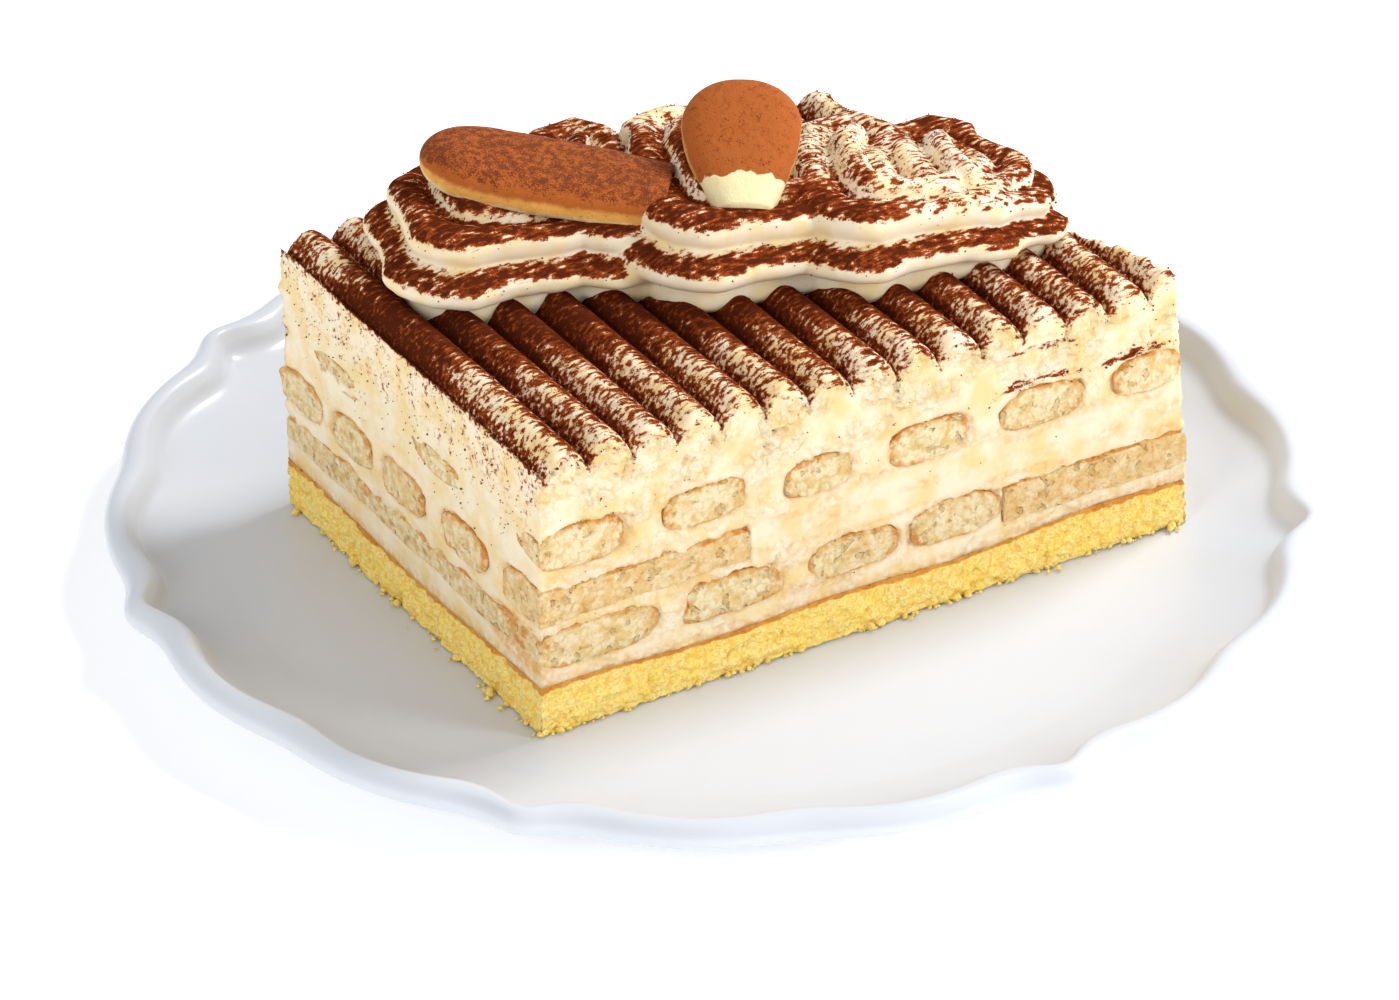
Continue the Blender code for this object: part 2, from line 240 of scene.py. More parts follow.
class Graph:
    """A material's node tree with short ways to add and join nodes."""

    def __init__(self, name: str) -> None:
        self.material = bpy.data.materials.new(name)
        self.material.use_nodes = True
        self.tree = self.material.node_tree
        self.shader = self.tree.nodes["Principled BSDF"]
        self.place = self.add("ShaderNodeTexCoord").outputs["Object"]

    def add(self, kind: str, settings: dict | None = None, **inputs: object) -> bpy.types.Node:
        """Adds a node, sets its options, and sets or links its inputs.

        Args:
            kind: the node's class name.
            settings: attributes of the node.
            inputs: socket name (or iN for the Nth socket) to a value or to another node's output.

        Returns:
            The node.
        """
        node = self.tree.nodes.new(kind)
        for key, value in (settings or {}).items():
            setattr(node, key, value)
        for key, value in inputs.items():
            by_number = key[0] == "i" and key[1:].isdigit()
            self.put(node.inputs[int(key[1:]) if by_number else key.replace("_", " ")], value)
        return node

    def put(self, socket: bpy.types.NodeSocket, value: object) -> None:
        """Links an output to a socket, or sets the socket's value."""
        if isinstance(value, bpy.types.NodeSocket):
            self.tree.links.new(value, socket)
        else:
            socket.default_value = value

    def grain(
        self, size_mm: float, detail: float = 2.0, stretch: tuple[float, float, float] = (1, 1, 1)
    ) -> bpy.types.NodeSocket:
        """Noise with features about size_mm across, stretched along the axes."""
        scaled = self.add("ShaderNodeMapping", i0=self.place, i3=tuple(1 / s for s in stretch))
        return self.add(
            "ShaderNodeTexNoise", i0=scaled.outputs[0], Scale=1.0 / (size_mm * MM), Detail=detail
        ).outputs["Fac"]

    def pebbles(self, size_mm: float) -> bpy.types.NodeSocket:
        """Height of crowded lumps about size_mm across: 1 less the distance to the nearest point."""
        wander = self.add(
            "ShaderNodeTexNoise", Vector=self.place, Scale=1.0 / (1.5 * size_mm * MM), Detail=2.0
        ).outputs["Color"]
        push = self.add(
            "ShaderNodeVectorMath",
            {"operation": "MULTIPLY_ADD"},
            i0=wander,
            i1=(1.1 * size_mm * MM,) * 3,
            i2=self.place,
        )
        cells = self.add(
            "ShaderNodeTexVoronoi", {"feature": "F1"}, Vector=push.outputs[0], Scale=1.0 / (size_mm * MM)
        )
        return self.minus(1.0, cells.outputs["Distance"])

    def maths(self, operation: str, a: object, b: object = 0.0, clamp: bool = False) -> bpy.types.NodeSocket:
        """One arithmetic step."""
        return self.add("ShaderNodeMath", {"operation": operation, "use_clamp": clamp}, i0=a, i1=b).outputs[0]

    def times(self, a: object, b: object) -> bpy.types.NodeSocket:
        """Product."""
        return self.maths("MULTIPLY", a, b)

    def plus(self, a: object, b: object) -> bpy.types.NodeSocket:
        """Sum."""
        return self.maths("ADD", a, b)

    def minus(self, a: object, b: object) -> bpy.types.NodeSocket:
        """Difference."""
        return self.maths("SUBTRACT", a, b)

    def ramp(self, value: object, low: float, high: float) -> bpy.types.NodeSocket:
        """Smooth step of a value from 0 at low to 1 at high."""
        return self.add(
            "ShaderNodeMapRange", {
                "interpolation_type": "SMOOTHSTEP"
            }, i0=value, i1=low, i2=high, i3=0.0, i4=1.0
        ).outputs[0]

    def blend(self, share: object, under: object, over: object) -> bpy.types.NodeSocket:
        """Colour mix: under where share is 0, over where it is 1."""
        mix = self.add("ShaderNodeMix", {"data_type": "RGBA"}, i0=share, i6=under, i7=over)
        return mix.outputs[2]

    def value(self, name: str) -> bpy.types.NodeSocket:
        """A float attribute of the mesh."""
        return self.add("ShaderNodeAttribute", {"attribute_name": name}).outputs["Fac"]

    def relief(self, height: object, depth_mm: float, after: object = None) -> bpy.types.NodeSocket:
        """A bump of the given depth, laid over an earlier one."""
        bump = self.add("ShaderNodeBump", i0=1.0, i1=depth_mm * MM, Height=height)
        if after is not None:
            self.put(bump.inputs["Normal"], after)
        return bump.outputs[0]

    def dress(self, **inputs: object) -> bpy.types.Material:
        """Sets or links the shader's own sockets.

        Returns:
            The finished material.
        """
        for key, value in inputs.items():
            self.put(self.shader.inputs[key.replace("_", " ")], value)
        return self.material


@dataclass(frozen=True)
class Cocoa:
    """Sieved cocoa: a thin speckled cover that turns dark and solid where it lies thick."""

    dark: str = "#552412"
    middle: str = "#99461D"
    thin: str = "#CD824E"

    def over(self, graph: Graph, under: object, density: object) -> tuple[
        bpy.types.NodeSocket, bpy.types.NodeSocket
    ]:
        """Lays the cocoa over a colour by density.

        Args:
            graph: the material.
            under: colour below.
            density: 0 for clean to 1 for covered.

        Returns:
            The colour, and how much is covered.
        """
        speck = graph.grain(0.30, 3.0)
        stroke = graph.grain(0.95, 3.0, (3.0, 1.0, 1.0))
        spread = graph.plus(graph.times(speck, 0.8), graph.times(stroke, 2.8))
        spread = graph.times(graph.minus(spread, 1.80), graph.ramp(density, 0.02, 0.24))
        level = graph.plus(density, spread)
        veil = graph.ramp(level, 0.14, 0.54)
        cover = graph.ramp(level, 0.47, 0.60)
        thick = graph.ramp(level, 0.60, 1.15)
        colour = graph.blend(graph.times(veil, 0.58), under, linear(self.thin))
        colour = graph.blend(cover, colour, graph.blend(thick, linear(self.middle), linear(self.dark)))
        return colour, cover


@dataclass(frozen=True)
class CreamFinish:
    """Mascarpone cream cut with a knife, stained by coffee round the biscuits, with cocoa on top and painted
    warm shade in its torn crevices.
    """

    name: str = "mascarpone_cream"
    white: str = "#F4E6C8"
    warm: str = "#F0D598"
    soaked: str = "#E0A24A"
    rough_mm: float = 0.30

    def make(self) -> bpy.types.Material:
        """Builds the material; reads the attributes dust, soak and torn."""
        g = Graph(self.name)
        tone = g.ramp(g.grain(7.0, 3.0), 0.38, 0.68)
        colour = g.blend(tone, linear(self.white), linear(self.warm))
        stain = g.times(g.value("soak"), g.ramp(g.grain(1.6, 3.0), 0.30, 0.66))
        colour = g.blend(g.maths("MULTIPLY", stain, 0.85, clamp=True), colour, linear(self.soaked))
        torn, lumps = g.value("torn"), g.pebbles(1.7)
        # painted shade: the crevices between torn curds are tinted a darker warm yellow, standing in for the
        # shade inside them
        painted_hollow_shade = g.times(g.ramp(lumps, 0.55, 0.30), torn)
        colour = g.blend(g.times(painted_hollow_shade, 0.60), colour, linear("#E8BF78"))
        colour, cover = Cocoa().over(g, colour, g.value("dust"))
        curds = g.relief(g.times(lumps, torn), self.rough_mm * 2.1)
        coarse = g.relief(g.times(g.pebbles(0.75), torn), self.rough_mm * 0.7, curds)
        fine = g.relief(g.times(g.grain(0.42, 3.0), g.plus(cover, 0.12)), self.rough_mm, coarse)
        rough = g.plus(0.50, g.times(cover, 0.42))
        g.put(g.shader.inputs["Subsurface Weight"], g.times(g.minus(1.0, cover), 0.30))
        return g.dress(
            Base_Color=colour, Roughness=rough, Normal=fine,
            Subsurface_Radius=(1.0, 0.72, 0.40), Subsurface_Scale=0.0012,
            Specular_IOR_Level=g.times(g.minus(1.0, cover), 0.32),
        )


@dataclass(frozen=True)
class CrumbFinish:
    """Cut sponge-finger crumb: pale and open inside, orange toward its baked, coffee-wet skin, with painted
    shade in its pits.
    """

    name: str = "ladyfinger_crumb"
    pale: str = "#F0E0B8"
    middle: str = "#E2C384"
    skin: str = "#D28A38"

    def make(self) -> bpy.types.Material:
        """Builds the material; reads the attributes rim and wet."""
        g = Graph(self.name)
        patch = g.grain(2.2, 4.0)
        colour = g.blend(g.ramp(patch, 0.38, 0.66), linear(self.pale), linear(self.middle))
        wet = g.times(g.value("wet"), g.ramp(g.grain(5.0, 3.0), 0.25, 0.6))
        colour = g.blend(g.times(wet, 0.75), colour, linear("#E3B877"))
        edge = g.ramp(g.plus(g.value("rim"), g.times(g.minus(g.grain(1.4, 3.0), 0.5), 0.75)), 0.76, 1.04)
        edge = g.times(edge, g.ramp(g.grain(4.5, 3.0), 0.34, 0.56))
        colour = g.blend(g.times(edge, 0.92), colour, linear(self.skin))
        pores, lumps = g.pebbles(0.55), g.pebbles(1.5)
        pits = g.ramp(g.grain(2.4, 3.0), 0.42, 0.32)
        # painted shade: pits and the gaps between lumps are darkened toward olive brown
        dark = g.maths("MAXIMUM", g.times(g.ramp(lumps, 0.42, 0.22), 0.5), g.times(pits, 0.85))
        colour = g.blend(g.times(dark, 0.55), colour, linear("#C0923C"))
        bump = g.relief(pores, 0.16, g.relief(lumps, 0.45, g.relief(g.minus(1.0, pits), 0.40)))
        return g.dress(
            Base_Color=colour,
            Roughness=0.8,
            Normal=bump,
            Subsurface_Weight=0.20,
            Subsurface_Radius=(1.0, 0.7, 0.3),
            Subsurface_Scale=0.0012,
            Specular_IOR_Level=0.2,
        )


@dataclass(frozen=True)
class SpongeFinish:
    """Yellow egg sponge: open crumb with a thin baked top, and painted shade in its pores."""

    name: str = "egg_sponge"
    crumb: str = "#FFE27A"
    shade: str = "#F6B438"
    crust: str = "#CF7F30"

    def make(self) -> bpy.types.Material:
        """Builds the material; reads the attribute crust."""
        g = Graph(self.name)
        colour = g.blend(g.ramp(g.grain(3.2, 4.0), 0.35, 0.68), linear(self.crumb), linear("#FFE693"))
        pores, lumps = g.pebbles(0.5), g.pebbles(1.25)
        # painted shade: pores and the gaps between lumps are mixed toward the darker orange shade colour
        painted_hollow_shade = g.maths("MAXIMUM", g.ramp(pores, 0.46, 0.22), g.ramp(lumps, 0.40, 0.18))
        colour = g.blend(g.times(painted_hollow_shade, 0.60), colour, linear(self.shade))
        baked = g.ramp(g.plus(g.value("crust"), g.times(g.minus(g.grain(2.2, 3.0), 0.5), 0.5)), 0.40, 0.80)
        colour = g.blend(
            g.times(baked, 0.92),
            colour,
            g.blend(g.ramp(g.grain(4.0, 2.0), 0.35, 0.65), linear(self.crust), linear("#DE9A45")),
        )
        bump = g.relief(pores, 0.16, g.relief(lumps, 0.40))
        return g.dress(
            Base_Color=colour,
            Roughness=0.85,
            Normal=bump,
            Subsurface_Weight=0.25,
            Subsurface_Radius=(1.0, 0.75, 0.2),
            Subsurface_Scale=0.0014,
            Specular_IOR_Level=0.15,
        )


@dataclass(frozen=True)
class BiscuitFinish:
    """Baked ladyfinger: smooth skin browned on top, golden at the edge, pale below, dusted with cocoa."""

    name: str = "baked_biscuit"
    gold: str = "#E3A653"
    pale: str = "#F0DCA4"
    brown: str = "#AE5C25"

    def make(self) -> bpy.types.Material:
        """Builds the material; reads the attributes baked, dust and bare."""
        g = Graph(self.name)
        mottle = g.times(g.minus(g.grain(2.6, 4.0), 0.5), 0.5)
        baked = g.plus(g.value("baked"), mottle)
        colour = g.blend(g.ramp(baked, 0.05, 0.35), linear(self.pale), linear(self.gold))
        colour = g.blend(g.ramp(baked, 0.40, 0.80), colour, linear(self.brown))
        speck = g.plus(g.times(g.grain(0.30, 2.0), 2.4), g.times(g.grain(1.5, 4.0), 1.8))
        level = g.plus(g.value("dust"), g.minus(speck, 2.10))
        cover = g.ramp(level, 0.46, 0.62)
        colour = g.blend(
            g.times(cover, 0.92),
            colour,
            g.blend(g.ramp(level, 0.60, 1.0), linear("#9A4A16"), linear("#662C0F")),
        )
        bare = g.ramp(g.plus(g.value("bare"), mottle), 0.40, 0.62)
        colour = g.blend(bare, colour, linear("#F0DFAE"))
        bump = g.relief(g.grain(0.40, 3.0), 0.16, g.relief(g.grain(1.7, 4.0), 0.30))
        return g.dress(Base_Color=colour, Roughness=0.82, Normal=bump, Specular_IOR_Level=0.25)


@dataclass(frozen=True)
class GlazeFinish:
    """White glazed stoneware, glossy and slightly uneven."""

    name: str = "white_glazed_stoneware"
    body: str = "#D3D7DE"

    def make(self) -> bpy.types.Material:
        """Builds the material."""
        g = Graph(self.name)
        bump = g.relief(g.grain(14.0, 1.0), 0.10)
        return g.dress(
            Base_Color=linear(self.body),
            Roughness=0.30,
            Normal=bump,
            IOR=1.45,
            Coat_Weight=0.15,
            Coat_Roughness=0.10,
        )


# ---------------------------------------------------------------- the slice's shape


@dataclass(frozen=True)
class SliceShape:
    """Sizes of the slice in millimetres, the same as the part's."""

    length: float = 150.0
    width: float = 102.0
    foot: float = 152.5
    lean: float = 0.09
    skew: float = 0.18
    pitch: float = 10.0
    first: float = 1.0
    depth: float = 4.9
    valley_left: float = 58.6
    valley_right: float = 55.2
    sponge_top: float = 10.3
    sponge_wave: float = 0.9
    edge_height: float = 58.0

    def right(self, y: Array, z: Array) -> Array:
        """x of the askew right cut: the foot less a lean with height and a skew with depth."""
        return self.foot - self.lean * z - self.skew * y

    def interface(self, x: Array, y: Array) -> Array:
        """Height of the sponge's uneven top: two crossed sine waves."""
        return self.sponge_top + self.sponge_wave * (
            0.6 * np.sin(x / 9.5 + 0.8) * np.cos(y / 13.0) + 0.5 * np.sin(x / 21.0 + y / 17.0 + 1.1)
        )

    def across_ridge(self, x: Array) -> Array:
        """Where x lies within its ridge, from 0 in a valley through 0.5 on the crest to 1."""
        return ((x - self.first) / self.pitch) % 1.0

    def valley(self, x: Array) -> Array:
        """Height of the valleys between the ridges, falling to the right."""
        return self.valley_left + (self.valley_right - self.valley_left) * x / self.length

    def combed(self, x: Array, y: Array) -> Array:
        """Height of the top: the valleys plus |sin|^0.75 ridges that sway a little."""
        hump = np.abs(np.sin(np.pi * (x - self.first) / self.pitch))
        number = np.floor((x - self.first) / self.pitch)
        sway = 0.35 * np.sin(y / 24.0 + 1.9 * number)
        return self.valley(x) + self.depth * hump**0.75 + sway * np.minimum(1.0, hump * 2)


SHAPE = SliceShape()


@dataclass(frozen=True)
class Finger:
    """One ladyfinger in the slice: axis, centre across, centre height, width, height, start and end along."""

    node: str
    axis: str
    across: float
    height: float
    wide: float
    tall: float
    start: float
    end: float
    seed: int
    wet: float = 0.0
    bent: bool = False


FINGERS = (
    Finger("ladyfinger_1a", "y", 12.5, 19.0, 27.0, 9.0, -4, 106, 1, 0.2),
    Finger("ladyfinger_1b", "y", 43.6, 19.0, 24.0, 8.8, -4, 106, 2, 0.1),
    Finger("ladyfinger_1c", "y", 72.0, 19.0, 20.0, 8.6, -4, 106, 3, 0.3),
    Finger("ladyfinger_1d", "y", 95.4, 19.2, 22.0, 9.0, -4, 106, 4, 0.2),
    Finger("ladyfinger_1e", "x", 8.5, 18.4, 24.0, 9.2, 107.6, 158, 5, 1.0),
    Finger("ladyfinger_2a", "x", 95.8, 29.0, 17.0, 8.6, -4, 158, 6, 0.1),
    Finger("ladyfinger_2b", "x", 74.8, 29.0, 17.0, 8.6, -4, 158, 7, 0.1),
    Finger("ladyfinger_2c", "x", 53.6, 29.0, 17.0, 8.6, -4, 158, 8, 0.6),
    Finger("ladyfinger_2d", "x", 29.6, 29.0, 18.0, 8.6, -4, 158, 9, 0.2),
    Finger("ladyfinger_2e", "x", 6.4, 29.0, 17.0, 8.6, -4, 47, 10, 0.7),
    Finger("ladyfinger_3a", "y", 11.0, 41.6, 20.0, 9.0, -4, 106, 11, 0.1, bent=True),
    Finger("ladyfinger_3b", "y", 36.5, 41.4, 19.0, 8.6, -4, 106, 12, 0.1),
    Finger("ladyfinger_3c", "y", 63.5, 39.6, 15.5, 8.0, -4, 106, 13, 0.1),
    Finger("ladyfinger_3d", "y", 89.5, 39.4, 19.0, 8.6, -4, 106, 14, 0.1),
    Finger("ladyfinger_3e", "y", 115.5, 39.2, 19.0, 8.8, -4, 106, 15, 0.1),
    Finger("ladyfinger_3f", "y", 141.0, 38.8, 16.5, 8.4, -4, 106, 16, 0.1),
)


def section_reach(finger: Finger, across: Array, up: Array) -> Array:
    """Superellipse norm: how far a point is out from a finger's centre, 1 on its outline."""
    u = np.abs(across - finger.across) / (finger.wide / 2)
    v = np.abs(up - finger.height) / (finger.tall / 2)
    return (u**2.8 + v**2.6) ** (1 / 2.7)


@dataclass
class CreamBlock:
    """The cream: a ridged, dusted top over four knife-cut walls, closed below."""

    columns: int = 300
    rows: int = 112
    wall_rows: int = 70
    drawn_from: float = 118.0
    finish: bpy.types.Material | None = None
    drawn_lines: tuple[tuple[float, float, float, float], ...] = (  # x from and to, height, density
        (104.0, 126.0, 45.6, 0.62), (130.0, 147.0, 45.0, 0.62), (106.0, 124.0, 53.0, 0.42),
    )

    def top(self) -> Array:
        """Grid over the top, its right edge following the askew cut.

        Columns keep a fixed x up to drawn_from and are then drawn in evenly to the cut.
        """
        x = np.linspace(0, SHAPE.length, self.columns + 1)[None, :]
        y = np.linspace(0, SHAPE.width, self.rows + 1)[:, None]
        edge = SHAPE.right(y, SHAPE.edge_height)
        start = self.drawn_from
        x = np.where(x > start, start + (x - start) / (SHAPE.length - start) * (edge - start), x + 0 * y)
        y = y + 0 * x
        grid = np.stack((x, y, SHAPE.combed(x, y)), -1)
        inner = np.minimum.reduce((x, y, SHAPE.width - y, edge - x))
        grid[..., 2] += (
            0.22 * noise(grid, (2.5, 9.0, 5.0), 5, 2) - 0.9 * np.exp(-inner / 0.8)
            + 0.35 * noise(grid, 2.2, 6, 2) * np.exp(-inner / 3.0)
        )
        rag = smoothstep(6.0, 0.0, edge - x)
        grid[..., 2] += rag * (1.6 * noise(grid, (3.5, 2.6, 4.0), 61, 3) - 0.3)
        return grid

    def walls(self, ring: Array) -> Array:
        """Rows of points from the top's border down to the sponge, on the leaning cuts.

        Args:
            ring: (n, 3) border points of the top, in order.

        Returns:
            (rows, n, 3) points without the border row.
        """
        x, y, top = ring[:, 0], ring[:, 1], ring[:, 2]
        low = SHAPE.interface(x, y) + 0.15
        t = (np.arange(1, self.wall_rows + 1) / self.wall_rows)[:, None]
        z = top[None] + (low - top)[None] * t
        scale = SHAPE.right(y[None], z) / SHAPE.right(y, SHAPE.edge_height)[None]
        return np.stack((x[None] * scale, y[None] + 0 * z, z), -1)

    def displaced(self, points: Array, outward: Array, fade: Array) -> tuple[Array, Array]:
        """Knife drag and torn, fluffy patches: layered noise along the wall's normal.

        Returns:
            Moved points, and how torn each one is.
        """
        x, y, z = points[..., 0], points[..., 1], points[..., 2]
        rough = np.where(outward[..., 1] < -0.5, 1.0, np.where(outward[..., 0] < -0.5, 0.28, 0.8))
        streak = (
            smoothstep(55, 66, x) * smoothstep(144, 134, x) * smoothstep(24, 26, z) * smoothstep(36, 33, z)
        )
        rough = rough * (1 - 0.75 * streak) * (0.6 + 0.4 * smoothstep(44, 50, z))
        torn = rough * smoothstep(-0.45, 0.3, noise(points, (7.0, 7.0, 5.0), 11, 2))
        wave = 0.28 * noise(points, (9.0, 9.0, 4.0), 12, 3)
        shreds = 1.5 * np.abs(noise(points, 3.4, 13, 1)) + 1.0 * np.abs(noise(points, 1.8, 14, 1)) - 0.55
        tear = torn * shreds
        drag = streak * 0.30 * noise(points, (26.0, 26.0, 1.3), 15, 3)
        pit = -1.0 * torn * smoothstep(0.42, 0.7, noise(points, (3.2, 3.2, 2.2), 16, 2))
        crack, inside = np.zeros(points.shape[:-1]), np.zeros(points.shape[:-1])
        outline = 0.03 * noise(points, 2.2, 17, 2)
        bite = 0.26 * noise(points, 3.6, 19, 3)
        for finger in FINGERS:
            across, along = (x, y) if finger.axis == "y" else (y, x)
            within = (along > finger.start - 0.5) & (along < finger.end + 0.5)
            reach = section_reach(finger, across, z)
            crack = np.maximum(crack, within * smoothstep(0.13, 0.03, np.abs(reach - outline - 1.02)))
            inside = np.maximum(inside, within * smoothstep(1.06, 0.94, reach - bite))
        crack = -0.7 * crack * smoothstep(0.0, 0.4, noise(points, 5.0, 18, 2))
        move = ((wave + tear + drag + pit + crack) * (1 - inside) - 0.9 * inside) * fade
        return points + outward * move[..., None], torn * fade

    def stain(self, points: Array, outward: Array) -> Array:
        """Coffee drawn into the cream round the fingers' sections: 1 at an outline, fading over 25%."""
        x, y, z = points[..., 0], points[..., 1], points[..., 2]
        front = np.abs(outward[..., 1]) > 0.5
        total = np.zeros(points.shape[:-1])
        blur = 0.06 * noise(points, 3.0, 21, 2)
        for finger in FINGERS:
            across, here = (x, front) if finger.axis == "y" else (y, ~front)
            near = section_reach(finger, across, z) - blur
            total = np.maximum(total, here * smoothstep(1.22, 1.0, near) * (0.55 + 0.4 * finger.wet))
        band = smoothstep(3.2, 0.6, z - SHAPE.interface(x, y))
        line = smoothstep(1.2, 0.2, np.abs(z - 25.0 - 1.5 * noise(points, 12.0, 22, 2)))
        line = line * (noise(points, 9.0, 23, 2) > 0.05)
        patch = smoothstep(-0.05, 0.75, noise(points, (11.0, 11.0, 3.0), 24, 3))
        patch = patch * smoothstep(40.0, 33.0, z) * np.where(front, 0.75, 0.25)
        return np.maximum.reduce((total, band * 0.75, line * 0.6 * front, patch))

    def dust(self, grid: Array) -> Array:
        """Cocoa on the ridges: solid in valleys, streaked on crests, thin at cuts, with the right flanks made
        denser as painted shade.
        """
        x, y = grid[..., 0], grid[..., 1]
        where = SHAPE.across_ridge(x)
        # cocoa collects in the valleys; the extra density on the right flanks is painted shade laid in as
        # thicker cocoa
        cocoa_and_flank_shade = 0.55 + 0.36 * smoothstep(0.44, 0.66, where) + 0.40 * smoothstep(0.20, 0.05, where)
        edge = np.minimum(y / 6.0, x / 5.0 + 0.45)
        right = (SHAPE.right(y, SHAPE.edge_height) - x) / 16.0
        thin = 0.24 * smoothstep(1.0, 0.0, edge) + 0.14 * smoothstep(1.0, 0.0, right)
        streaks = 0.12 * noise(grid, (4.2, 2.4, 40.0), 31, 1) + 0.24 * noise(grid, (4.0, 11.0, 40.0), 32, 2)
        heap = (
            0.66 * smoothstep(30.0, 6.0, np.abs(y - (60.0 - 0.30 * x)) + 0 * x) * smoothstep(150.0, 60.0, x)
        )
        return np.clip(cocoa_and_flank_shade + heap - thin + streaks - 0.10, 0.0, 1.25)

    def wall_dust(self, points: Array, depth: Array, on_left: Array) -> Array:
        """Cocoa on the cuts: spill under the ridges, a sprinkling on the left cut, specks and drawn lines.

        Args:
            points: (n, 3) points of the cuts.
            depth: how far each lies below the top's border.
            on_left: which of them are on the left cut.

        Returns:
            One density per point.
        """
        spill = smoothstep(3.4, 0.0, depth) * (0.30 + 0.28 * noise(points, (1.6, 1.6, 4.0), 41, 2))
        fall = on_left * smoothstep(30.0, 2.0, depth) * (0.17 + 0.16 * noise(points, (1.6, 1.6, 5.0), 42, 2))
        speck = 0.13 * smoothstep(0.35, 0.8, noise(points, 1.1, 43, 2)) * smoothstep(34.0, 6.0, depth)
        lines = np.zeros(len(points))
        x, y, z = points.T
        for start, end, height, strength in self.drawn_lines:
            reach = smoothstep(start - 2, start + 3, x) * smoothstep(end + 2, end - 3, x) * (y < 2)
            arch = height - 1.2 * ((x - (start + end) / 2) / 10.0) ** 2
            away = np.abs(z - arch + 0.6 * noise(points, 4.0, 44, 2))
            lines = np.maximum(lines, strength * reach * smoothstep(1.3, 0.2, away))
        return np.maximum.reduce((spill, fall, speck, lines))

    def outward(self) -> Array:
        """Direction out of the cuts along the top's border, halved between two cuts at the corners."""
        normals = {
            Face.FRONT: (0.0, -1.0, 0.0), Face.RIGHT: (0.98, 0.18, 0.09),
            Face.BACK: (0.0, 1.0, 0.0), Face.LEFT: (-1.0, 0.0, 0.0),
        }
        counts = (self.columns, self.rows, self.columns, self.rows)
        out = np.repeat([normals[face] for face in Face], counts, axis=0)
        for corner in np.cumsum((0, *counts[:3])):
            out[corner] = (out[corner - 1] + out[(corner + 1) % len(out)]) / 2
        return out

    def build(self) -> bpy.types.Object:
        """Makes the closed block and lets it stand for the CAD block."""
        grid = self.top()
        rows, columns = grid.shape[:2]
        index = np.arange(rows * columns).reshape(rows, columns)
        border = np.concatenate((index[0, :-1], index[:-1, -1], index[-1, :0:-1], index[:0:-1, 0]))
        top = grid.reshape(-1, 3)
        ring = top[border]
        walls = self.walls(ring)
        out = np.broadcast_to(self.outward(), walls.shape)
        depth = ring[None, :, 2] - walls[..., 2]
        above_sponge = walls[..., 2] - SHAPE.interface(walls[..., 0], walls[..., 1])
        fade = smoothstep(0.0, 1.2, depth) * smoothstep(0.0, 0.6, above_sponge)
        walls, torn = self.displaced(walls, out, 0.25 + 0.75 * fade)
        wall_points = walls.reshape(-1, 3)
        points = np.concatenate((top, wall_points, [[70.0, 50.0, 10.5]]))
        first = np.arange(len(border)) + len(top)
        last = first + (self.wall_rows - 1) * len(border)
        polygons = [
            grid_quads(rows, columns),
            np.stack((border, first, np.roll(first, -1), np.roll(border, -1)), -1),
            grid_quads(self.wall_rows, len(border), len(top), closed=True),
            fan(last, len(points) - 1),
        ]
        clean = np.zeros(len(top))
        dust = self.wall_dust(wall_points, depth.reshape(-1), (out[..., 0] < -0.5).reshape(-1))
        values = {
            "dust": np.concatenate((self.dust(grid).reshape(-1), dust, [0.0])),
            "soak": np.concatenate((clean, self.stain(walls, out).reshape(-1), [0.0])),
            "torn": np.concatenate((clean + 0.10, torn.reshape(-1), [0.0])),
        }
        made = add_mesh("cream_body", points, polygons, self.finish, values=values)
        return stand_for(made, "cream_block", slot="cream")


def stand_for(obj: bpy.types.Object, *nodes: str, slot: str) -> bpy.types.Object:
    """Turns the normals outward, lets the piece ride on the part and replace its CAD nodes."""
    shape = bmesh.new()
    shape.from_mesh(obj.data)
    bmesh.ops.recalc_face_normals(shape, faces=shape.faces)
    if shape.calc_volume(signed=True) < 0:
        bmesh.ops.reverse_faces(shape, faces=shape.faces)
    shape.to_mesh(obj.data)
    shape.free()
    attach(obj, "root")
    if nodes:
        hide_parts(*nodes)
    LOG.info("%s: %d triangles", obj.name, sum(len(p.vertices) - 2 for p in obj.data.polygons))
    return obj


